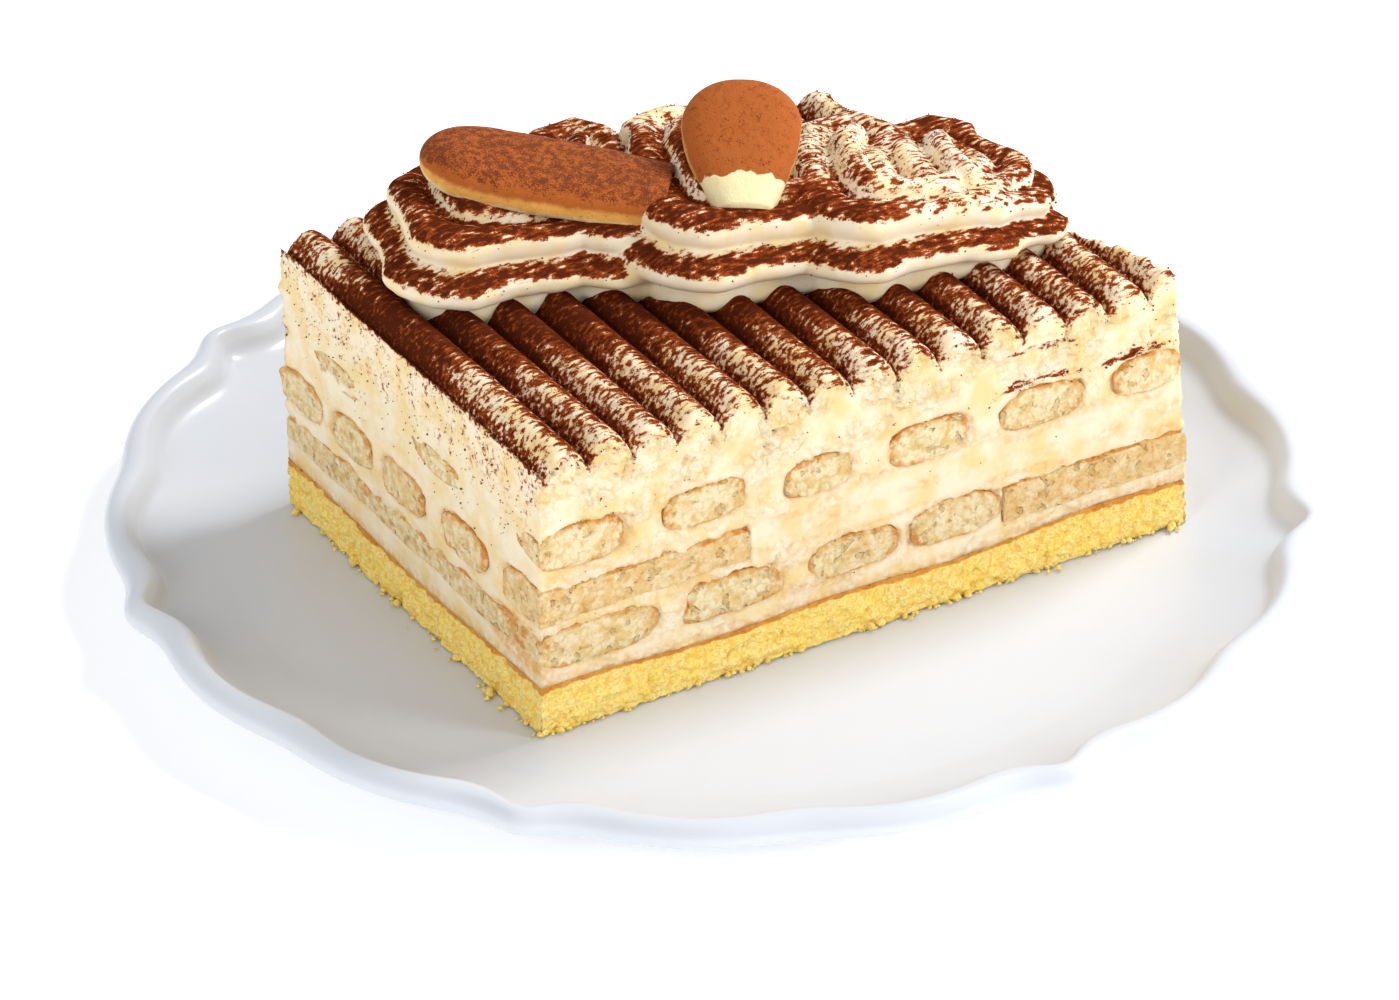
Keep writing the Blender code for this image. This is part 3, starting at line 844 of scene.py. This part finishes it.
@dataclass
class FingerBars:
    """The ladyfingers in the slice, with torn crumb ends that stand just proud of the cut cream."""

    sides: int = 96
    rings: int = 26
    along: int = 60
    knots: int = 5
    proud: float = 0.22
    finish: bpy.types.Material | None = None

    def section(self, finger: Finger) -> tuple[Array, Array]:
        """Flat-bottomed superellipse: signed powers of cosine and sine, to the finger's width and height."""
        turn = 2 * np.pi * (np.arange(self.sides) + 0.5) / self.sides
        c, d = np.cos(turn), np.sin(turn)
        u = np.sign(c) * np.abs(c) ** 0.66 * finger.wide / 2
        v = np.sign(d) * np.abs(d) ** np.where(d > 0, 0.75, 0.55) * finger.tall / 2
        return u[None], v[None]

    def course(self, finger: Finger, share: Array) -> tuple[Array, Array]:
        """Swelling and sideways drift along a finger: slow sines, or one weave if it is bent."""
        step = self.knots * share
        if finger.bent:
            return 1.0 + 0 * share, -(0.95 + 0.9 * np.cos(np.pi * (step + 0.05)))
        swell = 1.0 + 0.05 * np.sin(2.6 * finger.seed + 4.3 * step)
        return swell, 0.5 * np.sin(1.7 * finger.seed + 2.1 * step)

    def build_one(self, finger: Finger) -> bpy.types.Object:
        """One closed bar: a wavy section swept between the two cuts, with a polar grid on each end.

        Returns:
            The bar, standing for its CAD node.
        """
        seed, axis = finger.seed, "xy".index(finger.axis)
        other = 1 - axis
        taper = np.linspace(0, 1, self.rings) ** 0.8
        size = np.concatenate((taper[1:], np.ones(self.along), taper[:0:-1]))
        share = np.concatenate(
            (np.zeros(self.rings - 1), np.linspace(0, 1, self.along), np.ones(self.rings - 1))
        )
        s, k = share[:, None], size[:, None]
        u, v = self.section(finger)
        swell, drift = self.course(finger, s)
        skin = np.stack((u * k * swell, v * k, 9.0 * s + 3.0 * seed + 0 * u), -1)
        edge = 1.0 + 0.085 * noise(skin, (4.5, 3.0, 6.0), 100 + seed, 3)
        across = finger.across + drift + u * k * swell * edge
        up = finger.height + v * k * edge
        begin = max(finger.start, 0.0)
        if axis == 1:
            stop = min(finger.end, SHAPE.width)
        else:
            stop = SHAPE.right(across, up) if finger.end > 100 else finger.end
        flat = np.empty((*across.shape, 3))
        flat[..., axis] = begin + (stop - begin) * s
        flat[..., other] = across
        flat[..., 2] = up
        crumb = self.proud + 0.42 * noise(flat, 3.4, 200 + seed, 2) + 0.30 * noise(flat, 1.1, 230 + seed, 3)
        sag = -0.9 * smoothstep(0.90, 1.0, k) * (0.4 + 0.6 * noise(flat, 2.6, 260 + seed, 2))
        ends = np.where(s < 1e-9, -1.0, np.where(s > 1 - 1e-9, 1.0, 0.0))
        flat[..., axis] += ends * (crumb + np.minimum(sag, 0.1))
        lift = self.proud * 0.8 + 0.30 * noise(flat, (5.0, 5.0, 2.0), 290 + seed, 3)
        flat[..., other] = np.maximum(flat[..., other], -lift)
        exposed = np.abs(flat[..., other] + lift) < 1e-6
        if axis == 1:
            flat[..., 0] = np.minimum(flat[..., 0], SHAPE.right(flat[..., 1], flat[..., 2]) + lift)
        rim = np.where(exposed, 0.78, k + 0 * u).reshape(-1)
        points, faces = capped_tube(flat)
        values = {"rim": np.append(rim, (0.0, 0.0)), "wet": np.full(len(points), finger.wet)}
        made = add_mesh(finger.node + "_crumb", points, faces, self.finish, values=values)
        return stand_for(made, finger.node, slot="ladyfinger_crumb")

    def build(self) -> None:
        """Builds every finger."""
        for finger in FINGERS:
            self.build_one(finger)


@dataclass
class SpongeBase:
    """The yellow sponge: four porous cut sides between a flat bottom and a wavy, baked top."""

    step: float = 0.42
    rows: int = 30
    finish: bpy.types.Material | None = None

    def build(self) -> bpy.types.Object:
        """One closed band of rows round the footprint, capped above and below by fans."""
        corners = [(0.0, 0.0), (1.0, 0.0), (1.0, SHAPE.width), (0.0, SHAPE.width)]
        ring, out = [], []
        normals = ((0, -1, 0), (0.98, 0.18, 0), (0, 1, 0), (-1, 0, 0))
        for k, (a, b) in enumerate(zip(corners, corners[1:] + corners[:1])):
            count = int((150 if k % 2 == 0 else 102) / self.step)
            t = np.arange(count)[:, None] / count
            ring.append(np.array(a) * (1 - t) + np.array(b) * t)
            out.append(np.repeat([normals[k]], count, 0))
        ring, out = np.concatenate(ring), np.concatenate(out).astype(float)
        t = np.linspace(0, 1, self.rows)[:, None]
        y = ring[None, :, 1] + 0 * t
        x_top = ring[None, :, 0] * SHAPE.right(y, 0 * y)
        z = SHAPE.interface(x_top, y) * t
        x = ring[None, :, 0] * SHAPE.right(y, z)
        points = np.stack((x, y, z), -1)
        bulge = 0.5 * np.sin(np.pi * t) + 0.55 * noise(points, (7.0, 7.0, 5.0), 51, 2)
        crumb = (
            0.9 * np.abs(noise(points, 2.6, 52, 1)) + 0.6 * np.abs(noise(points, 1.4, 53, 1))
            + 0.2 * noise(points, 0.9, 56, 1) - 0.4
        )
        pores = (
            -0.9 * smoothstep(0.38, 0.72, noise(points, 2.4, 54, 2)) * smoothstep(0.0, 0.12, t)
            * smoothstep(1.0, 0.9, t)
        )
        shade = smoothstep(0.0, 0.10, t) * (1 - 0.3 * t)
        points = points + out[None] * ((bulge + crumb + pores - 0.35) * (0.55 + 0.45 * shade))[..., None]
        points[..., 2] += 0.18 * noise(points, 3.0, 55, 2) * (t > 0.99)
        points[:3, :, 2] += (
            0.5 * np.maximum(0.0, noise(points[:3], 2.4, 57, 2)) * np.array((1.0, 0.6, 0.3))[:, None]
        )
        flat, faces = capped_tube(points, [[70, 50, 0.05], [70, 50, 10.0]])
        below = (1 - t) * SHAPE.interface(x, y)
        crust = np.concatenate((smoothstep(1.9, 0.5, below).reshape(-1), [0.0, 1.0]))
        made = add_mesh("sponge_crumb", flat, faces, self.finish, values={"crust": crust})
        return stand_for(made, "sponge_base", slot="sponge")


# the rope's knots in millimetres: x, y, height over the ridges, radius
ROPE = np.array((
    (34.0, 93.0, 3.0, 9.0), (24.5, 82.0, 5.5, 11.0), (23.5, 68.0, 4.5, 12.5), (40.0, 62.5, 4.0, 11.0),
    (58.0, 70.0, 2.0, 9.0), (60.0, 88.0, 5.5, 9.0), (51.0, 74.0, 7.0, 10.0), (51.5, 58.0, 4.5, 10.5),
    (66.0, 53.0, 4.0, 9.5), (84.0, 62.0, 3.0, 9.0), (80.0, 80.0, 6.0, 10.0), (70.0, 66.0, 9.0, 11.5),
    (66.0, 47.5, 7.0, 13.0), (85.0, 42.0, 5.5, 11.5), (106.0, 50.0, 3.0, 9.5), (112.0, 66.0, 2.5, 10.0),
    (101.0, 54.0, 7.0, 11.5), (95.5, 36.0, 6.0, 12.5), (113.0, 31.5, 5.0, 10.5), (130.0, 42.0, 2.0, 9.5),
    (127.0, 58.0, 1.5, 9.5), (120.0, 47.0, 5.0, 10.0), (118.5, 32.5, 4.5, 10.5), (129.0, 32.5, 2.0, 8.5),
    (136.0, 41.0, -2.0, 5.0),
))


@dataclass
class Piping:
    """The piped cream: one star-section rope wound forward and back, fused where it laps over itself."""

    steps: int = 26
    sides: int = 112
    lobes: int = 7
    voxel: float = 0.60
    finish: bpy.types.Material | None = None

    def rope(self) -> tuple[Array, list[Array]]:
        """Sweeps the star section along a Catmull-Rom spline through the rope's knots.

        Returns:
            Points and polygons of one closed tube.
        """
        knots = np.vstack((2 * ROPE[0] - ROPE[1], ROPE, 2 * ROPE[-1] - ROPE[-2]))
        t = (np.arange(self.steps) / self.steps)[None, :, None]
        a, b, c, d = (knots[k : len(knots) - 3 + k][:, None, :] for k in range(4))
        line = 0.7 * spline(a, b, c, d, t) + 0.3 * (b + (c - b) * t)
        line = np.concatenate((line.reshape(-1, 4), knots[-2:-1]))
        heading = np.gradient(line[:, :2], axis=0)
        stride = np.linalg.norm(heading, axis=1)
        heading /= stride[:, None]
        bend = np.gradient(np.unwrap(np.arctan2(heading[:, 1], heading[:, 0]))) / stride
        soft = np.hanning(23)
        bend = np.convolve(np.pad(bend, 11, mode="edge"), soft / soft.sum(), mode="valid")[:, None]
        turn = (2 * np.pi * np.arange(self.sides) / self.sides + 0.2)[None]
        radius = line[:, 3:4]
        lobe = np.abs(np.cos(self.lobes * turn / 2))
        ruffle = np.stack(
            (line[:, 0:1] + 4 * np.cos(turn), line[:, 1:2] + 4 * np.sin(turn), line[:, 2:3] + 0 * turn), -1
        )
        reach = radius * (0.63 + 0.40 * lobe**0.80 * (1.0 + 0.12 * noise(ruffle, 6.0, 71, 2)))
        out = reach * np.cos(turn) * (1.03 + np.minimum(0.42, 3.4 * np.maximum(0.0, np.cos(turn) * bend)))
        base = SHAPE.valley(line[:, 0:1]) + SHAPE.depth
        points = np.stack(
            (
                line[:, 0:1] + heading[:, 1:2] * out,
                line[:, 1:2] - heading[:, 0:1] * out,
                base + line[:, 2:3] + reach * np.sin(turn),
            ), -1
        )
        return capped_tube(points)

    def dust(self, points: Array, normals: Array) -> Array:
        """Cocoa fallen from above: up-facing skin that nothing hangs over, streaked, thinner to the right."""
        cell = 0.8
        low = points[:, :2].min(0) - 4 * cell
        place = (points[:, :2] - low) / cell
        spot = np.rint(place).astype(int)
        wide, deep = spot.max(0) + 6
        roof = np.full((wide, deep), -1e3)
        np.maximum.at(roof, (spot[:, 0], spot[:, 1]), points[:, 2])
        for axis in (0, 1):
            roof = np.maximum.reduce((roof, np.roll(roof, 1, axis), np.roll(roof, -1, axis)))
        roof = np.maximum(roof, points[:, 2].min())
        for axis in (0, 1, 0, 1):
            roof = (roof + np.roll(roof, 1, axis) + np.roll(roof, -1, axis)) / 3
        base = np.floor(place).astype(int)
        t = place - base
        near = [roof[base[:, 0] + i, base[:, 1] + j] for i in (0, 1) for j in (0, 1)]
        above = (
            (near[0] * (1 - t[:, 1]) + near[1] * t[:, 1]) * (1 - t[:, 0])
            + (near[2] * (1 - t[:, 1]) + near[3] * t[:, 1]) * t[:, 0]
        )
        seen = smoothstep(7.5, 3.5, above - points[:, 2])
        up = smoothstep(0.40, 0.76, normals[:, 2] + 0.08 * noise(points, 3.0, 76, 2))
        streak = 0.30 * noise(points, (2.0, 2.0, 2.0), 72, 2) + 0.22 * noise(points, 0.9, 73, 2)
        light = (
            0.66 * smoothstep(80.0, 106.0, points[:, 0] + 0.6 * (points[:, 1] - 40.0))
            * smoothstep(68.0, 74.0, points[:, 2])
        )
        rim = 0.16 * smoothstep(-0.1, 0.3, normals[:, 2]) * seen
        return np.clip(seen * up * (0.90 - light + streak) + rim * (0.5 + streak), 0.0, 1.25)

    def build(self) -> bpy.types.Object:
        """Fuses the rope with a voxel skin, ruffles it and dusts it."""
        flat, polygons = self.rope()
        raw = add_mesh("rope_raw", flat, polygons, self.finish)
        skin = raw.modifiers.new("skin", "REMESH")
        skin.mode, skin.voxel_size, skin.use_smooth_shade = "VOXEL", self.voxel * MM, True
        relax = raw.modifiers.new("relax", "SMOOTH")
        relax.factor, relax.iterations = 0.5, 2
        graph = bpy.context.evaluated_depsgraph_get()
        mesh = bpy.data.meshes.new_from_object(raw.evaluated_get(graph))
        bpy.data.objects.remove(raw, do_unlink=True)
        made = bpy.data.objects.new("piped_rope", mesh)
        bpy.context.scene.collection.objects.link(made)
        points, normals = mesh_arrays(made)
        points -= SLICE_ORIGIN
        points += normals * (0.16 * noise(points, 2.4, 74, 2) + 0.20 * noise(points, 7.0, 75, 2))[:, None]
        mesh.vertices.foreach_set("co", ((points + SLICE_ORIGIN) * MM).astype(np.float32).ravel())
        mesh.update()
        _, normals = mesh_arrays(made)
        for key, value in (
            ("dust", self.dust(points, normals)),
            ("soak", np.zeros(len(points))),
            ("torn", np.full(len(points), 0.02)),
        ):
            mesh.attributes.new(key, "FLOAT", "POINT").data.foreach_set("value", value.astype(np.float32))
        mesh.materials.clear()
        mesh.materials.append(self.finish)
        return stand_for(made, "piped_cream", slot="piped_cream")


@dataclass(frozen=True)
class Topper:
    """Half a ladyfinger on top: centre, direction to its cut end, up of its face, and size."""

    node: str
    centre: tuple[float, float, float]
    direction: tuple[float, float, float]
    face: tuple[float, float, float]
    size: tuple[float, float, float]
    taper: float
    dust: float
    bare: float

    def build(self, finish: bpy.types.Material) -> bpy.types.Object:
        """A rounded flat bar: superellipse sections whose width and depth grow from the round end.

        Returns:
            The biscuit, standing for its CAD node.
        """
        long, wide, thick = self.size
        forward = np.array(self.direction)
        forward = forward / np.linalg.norm(forward)
        up = np.array(self.face) - forward * np.dot(self.face, forward)
        up = up / np.linalg.norm(up)
        side = np.cross(up, forward)
        sides, rows = 128, 110
        share = np.linspace(0, 1, rows)
        s = (share**1.5)[:, None]
        width = (
            np.sqrt(np.clip(1 - np.clip(1 - s / 0.34, 0, 1) ** 2.2, 0, 1))
            * (1.0 - 0.19 * np.clip((s - 0.42) / 0.58, 0, 1) ** 2.0)
        )
        width = width * (1.0 - self.taper * np.clip((s - 0.35) / 0.65, 0, 1) ** 1.5)
        depth = np.sqrt(np.clip(1 - np.clip(1 - s / 0.16, 0, 1) ** 2.2, 0, 1))
        turn = (2 * np.pi * (np.arange(sides) + 0.5) / sides)[None]
        c, d = np.cos(turn), np.sin(turn)
        u = np.sign(c) * np.abs(c) ** 0.72 * wide / 2 * width
        v = np.sign(d) * np.abs(d) ** np.where(d > 0, 0.95, 0.60) * thick / 2 * depth
        along = (s - 0.5) * long + 0 * turn
        points = np.array(self.centre) + forward * along[..., None] + side * u[..., None] + up * v[..., None]
        lump = 0.30 * noise(points, 9.0, 81, 2) + 0.12 * noise(points, 2.4, 82, 3)
        normal = side * (c * np.ones_like(s))[..., None] + up * (d * np.ones_like(s))[..., None]
        points = points + normal * (lump * np.minimum(1.0, 8 * s))[..., None]
        baked = smoothstep(-0.50, 0.55, d + 0 * s)
        dust = (
            self.dust * smoothstep(0.15, 0.75, d + 0 * s)
            * (1 + 0.2 * noise(points, (4.0, 4.0, 4.0), 83, 2))
        )
        bare = self.bare * smoothstep(0.74, 0.80, s + 0.09 * noise(points, 3.4, 84, 3)) + 0 * d
        flat, faces = capped_tube(points)
        values = {
            key: np.append(np.broadcast_to(value, u.shape).reshape(-1), (0.0, 0.0))
            for key, value in (("baked", baked), ("dust", dust), ("bare", bare))
        }
        made = add_mesh(self.node + "_baked", flat, faces, finish, values=values)
        return stand_for(made, self.node, slot="biscuit_crust")


TOPPERS = (
    Topper(
        "top_biscuit_left", (42.0, 69.0, 80.2), (0.78, -0.60, -0.14), (0.0, -0.06, 1.0), (50.0, 23.0, 8.8),
        taper=0.0, dust=0.78, bare=0.0,
    ),
    Topper(
        "top_biscuit_right", (76.6, 50.4, 85.2), (-0.40, -0.68, -0.55), (-0.2, -0.42, 0.8), (29.0, 24.0, 9.0),
        taper=0.42, dust=0.30, bare=1.0,
    ),
)


@dataclass
class Grains:
    """Loose cocoa: small faceted grains strewn where the cover thins out, all in one mesh."""

    count: int = 7000
    size: float = 0.16
    seed: int = 7

    def build(self, source: bpy.types.Object, finish: bpy.types.Material) -> bpy.types.Object:
        """Puts an octahedron of random size and turn on randomly picked points of the cream.

        Args:
            source: a mesh with the attribute dust.
            finish: the cocoa's material.

        Returns:
            The grains.
        """
        rng = np.random.default_rng(self.seed)
        points, normals = mesh_arrays(source)
        dust = np.empty(len(points), np.float32)
        source.data.attributes["dust"].data.foreach_get("value", dust)
        weight = np.clip(dust, 0, 1) ** 0.7 * np.clip(1.15 - dust, 0.05, 1) + 0.004
        spot = rng.choice(len(points), self.count, p=weight / weight.sum())
        centre = points[spot] + rng.normal(0, 0.22, (self.count, 3)) + normals[spot] * 0.05
        size = self.size * rng.lognormal(0, 0.35, (self.count, 1, 1))
        shape = np.array(((1, 0, 0), (0, 1, 0), (-1, 0, 0), (0, -1, 0), (0, 0, 0.8), (0, 0, -0.8)), float)
        turn, _ = np.linalg.qr(rng.normal(size=(self.count, 3, 3)))
        corners = centre[:, None] + size * np.einsum("kj,nij->nki", shape, turn)
        faces = np.array(
            ((0, 1, 4), (1, 2, 4), (2, 3, 4), (3, 0, 4), (1, 0, 5), (2, 1, 5), (3, 2, 5), (0, 3, 5))
        )
        faces = (faces[None] + 6 * np.arange(self.count)[:, None, None]).reshape(-1, 3)
        made = add_mesh(source.name + "_grains", corners.reshape(-1, 3), [faces], finish, origin=np.zeros(3))
        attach(made, "root")
        return made


@dataclass
class Crumbs:
    """Sponge crumbs on the plate along the foot of the near cuts, all in one mesh."""

    count: int = 130
    seed: int = 9

    def build(self, finish: bpy.types.Material) -> bpy.types.Object:
        """Scatters lumps, each a once-divided octahedron pushed in and out at random and resting on the well.

        Returns:
            The crumbs.
        """
        rng = np.random.default_rng(self.seed)
        share = rng.random(self.count)
        away = 0.1 + rng.exponential(0.55, self.count)
        front = rng.random(self.count) < 0.62
        x = np.where(front, share * 151.0, -away)
        y = np.where(front, -away, share * 101.0)
        size = 0.42 * rng.lognormal(0, 0.42, self.count)
        corners = np.array([c for c in product((-1, 0, 1), repeat=3) if 0 < np.abs(c).sum() < 3], float)
        corners /= np.linalg.norm(corners, axis=1)[:, None]
        faces = []
        for a, b, c in product((-1, 1), repeat=3):
            spots = np.array(((a, 0, 0), (0, b, 0), (0, 0, c), (a, b, 0), (0, b, c), (a, 0, c)))
            away = np.linalg.norm(corners[None] - spots[:, None], axis=2)
            on_x, on_y, on_z, xy, yz, xz = np.argmin(away, axis=1)
            four = ((on_x, xy, xz), (on_y, yz, xy), (on_z, xz, yz), (xy, yz, xz))
            faces += [f if a * b * c > 0 else f[::-1] for f in four]
        pushed = (1 + 0.28 * rng.normal(size=(self.count, len(corners), 1))).clip(0.5, 1.6)
        lumps = corners[None] * (size[:, None, None] * pushed)
        place = np.stack((x, y, size * 0.7), -1)
        points = (place[:, None] + lumps).reshape(-1, 3)
        points[:, 2] = np.maximum(points[:, 2], 0.0)
        order = np.array(faces)[None] + len(corners) * np.arange(self.count)[:, None, None]
        values = {"crust": np.zeros(len(points))}
        made = add_mesh("sponge_crumbs", points, [order.reshape(-1, 3)], finish, values=values)
        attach(made, "root")
        return made


@dataclass(frozen=True)
class PowderFinish:
    """Cocoa powder in loose grains."""

    name: str = "cocoa_powder"
    colour: str = "#6A3118"

    def make(self) -> bpy.types.Material:
        """Builds the material."""
        return Graph(self.name).dress(Base_Color=linear(self.colour), Roughness=0.95, Specular_IOR_Level=0.1)


@dataclass
class Plate:
    """The scalloped dish: a smooth profile turned round, with seven motifs on its rim."""

    segments: int = 980
    motifs: int = 7
    phase: float = -36.4
    finish: bpy.types.Material | None = None
    profile: tuple[tuple[float, float, float], ...] = (  # radius, height, share of the scallop
        (57.0, 2.0, 0.0), (59.0, 0.0, 0.0), (64.0, 0.0, 0.0), (67.0, 2.4, 0.0), (100.0, 4.6, 0.3),
        (116.5, 8.2, 1.0), (121.6, 10.2, 1.0), (122.8, 12.8, 1.0), (121.2, 15.2, 1.1), (118.4, 15.5, 1.4),
        (116.4, 13.4, 1.7), (114.2, 10.0, 1.5), (107.0, 7.8, 0.8), (98.5, 6.5, 0.0),
    )

    def scallop(self, degrees: Array) -> Array:
        """Offset of the edge: a sharp point, a dip each side, a broad bump and a soft notch, as Gaussians."""
        period = 360.0 / self.motifs
        away = np.abs((degrees - self.phase + period / 2) % period - period / 2)
        return (
            1.9 * np.exp(-((away / 2.6) ** 2)) - 0.9 * np.exp(-(((away - 6.0) / 3.4) ** 2))
            + 0.9 * np.exp(-(((away - 16.0) / 6.0) ** 2)) - 0.8 * np.exp(-(((away - period / 2) / 4.5) ** 2))
        )

    def build(self) -> bpy.types.Object:
        """Turns the rounded profile into rings and closes it above and below."""
        knots = np.array(self.profile)
        fine = []
        padded = np.vstack((knots[0], knots, knots[-1]))
        for k in range(1, len(padded) - 2):
            a, b, c, d = padded[k - 1 : k + 3]
            t = (np.arange(6) / 6)[:, None]
            if knots[k - 1][0] > 97 and k < len(padded) - 3:
                fine.append(spline(a, b, c, d, t))
            else:
                fine.append(b + (c - b) * t)
        line = np.concatenate((*fine, knots[-1:], [(80.0, 6.5, 0.0), (40.0, 6.5, 0.0)]))
        degrees = 360.0 * np.arange(self.segments) / self.segments + self.phase
        shift = self.scallop(degrees)
        turn = np.radians(degrees)
        reach = line[:, 0:1] + line[:, 2:3] * shift[None]
        points = np.stack((reach * np.cos(turn), reach * np.sin(turn), line[:, 1:2] + 0 * reach), -1)
        low, high = points.reshape(-1, 3).min(0), points.reshape(-1, 3).max(0)
        points[..., :2] -= ((low + high) / 2)[:2]
        flat, faces = capped_tube(points, [[0, 0, 2.0], [0, 0, 6.5]])
        made = add_mesh("plate_glazed", flat, faces, self.finish, origin=np.zeros(3))
        return stand_for(made, "plate", slot="glazed_stoneware")


# ---------------------------------------------------------------- stage


@dataclass(frozen=True)
class Studio:
    """Pale floor, broad soft lights and the camera."""

    azimuth: float = -31.53
    elevation: float = 31.71
    distance: float = 1.436
    target: tuple[float, float, float] = (0.0023, 0.0100, 0.0065)
    lens: float = 180.1

    def light(
        self, name: str, place: tuple[float, float, float], size: float, power: float, glossy: bool = True
    ) -> None:
        """An area light that faces the slice."""
        data = bpy.data.lights.new(name, "AREA")
        data.shape, data.size, data.energy, data.color = "DISK", size, power, (1.0, 1.0, 1.0)
        lamp = bpy.data.objects.new(name, data)
        bpy.context.scene.collection.objects.link(lamp)
        lamp.location = place
        lamp.visible_glossy = glossy
        lamp.rotation_euler = (Vector((0, 0, 0.03)) - Vector(place)).to_track_quat("-Z", "Y").to_euler()

    def build(self) -> None:
        """Sets up the floor, world, lights and camera."""
        scene = bpy.context.scene
        floor = bpy.data.meshes.new("floor")
        floor.from_pydata([(-8, -8, 0), (8, -8, 0), (8, 8, 0), (-8, 8, 0)], [], [(0, 1, 2, 3)])
        paint = Graph("white_card")
        floor.materials.append(
            paint.dress(
                Base_Color=linear("#F7F7F7"),
                Roughness=0.9,
                Emission_Color=linear("#FFFFFF"),
                Emission_Strength=0.30,
            )
        )
        ground = bpy.data.objects.new("floor", floor)
        scene.collection.objects.link(ground)
        world = bpy.data.worlds.new("studio")
        world.use_nodes = True
        world.node_tree.nodes["Background"].inputs["Color"].default_value = linear("#F6F7FA")
        world.node_tree.nodes["Background"].inputs["Strength"].default_value = 0.56
        scene.world = world
        self.light("key", (0.80, 0.05, 0.95), 0.40, 11.0)
        self.light("front", (0.85, -1.05, 0.50), 0.45, 8.6, glossy=False)
        self.light("left", (-1.05, -0.55, 0.60), 0.55, 5.2, glossy=False)
        a, e = math.radians(self.azimuth), math.radians(self.elevation)
        back = Vector((math.sin(a) * math.cos(e), -math.cos(a) * math.cos(e), math.sin(e)))
        camera = bpy.data.cameras.new("camera")
        camera.lens, camera.sensor_width = self.lens, 36.0
        camera.clip_end = 50.0
        eye = bpy.data.objects.new("camera", camera)
        scene.collection.objects.link(eye)
        eye.location = Vector(self.target) + back * self.distance
        eye.rotation_euler = (-back).to_track_quat("-Z", "Y").to_euler()
        scene.camera = eye
        scene.view_settings.view_transform = "Standard"
        scene.view_settings.look = "None"


def main() -> None:
    """Builds the slice, its plate and the studio."""
    logging.basicConfig(level=logging.INFO, format="%(message)s")
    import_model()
    cream = CreamFinish().make()
    Plate(finish=GlazeFinish().make()).build()
    sponge = SpongeFinish().make()
    SpongeBase(finish=sponge).build()
    Crumbs().build(sponge)
    block = CreamBlock(finish=cream).build()
    FingerBars(finish=CrumbFinish().make()).build()
    rope = Piping(
        finish=CreamFinish("piped_mascarpone", white="#F3E6CB", warm="#EFD9A6", rough_mm=0.16).make()
    ).build()
    powder = PowderFinish().make()
    Grains().build(block, powder)
    Grains(count=3500, seed=8).build(rope, powder)
    biscuit = BiscuitFinish().make()
    for topper in TOPPERS:
        topper.build(biscuit)
    Studio().build()


if __name__ == "__main__":
    main()
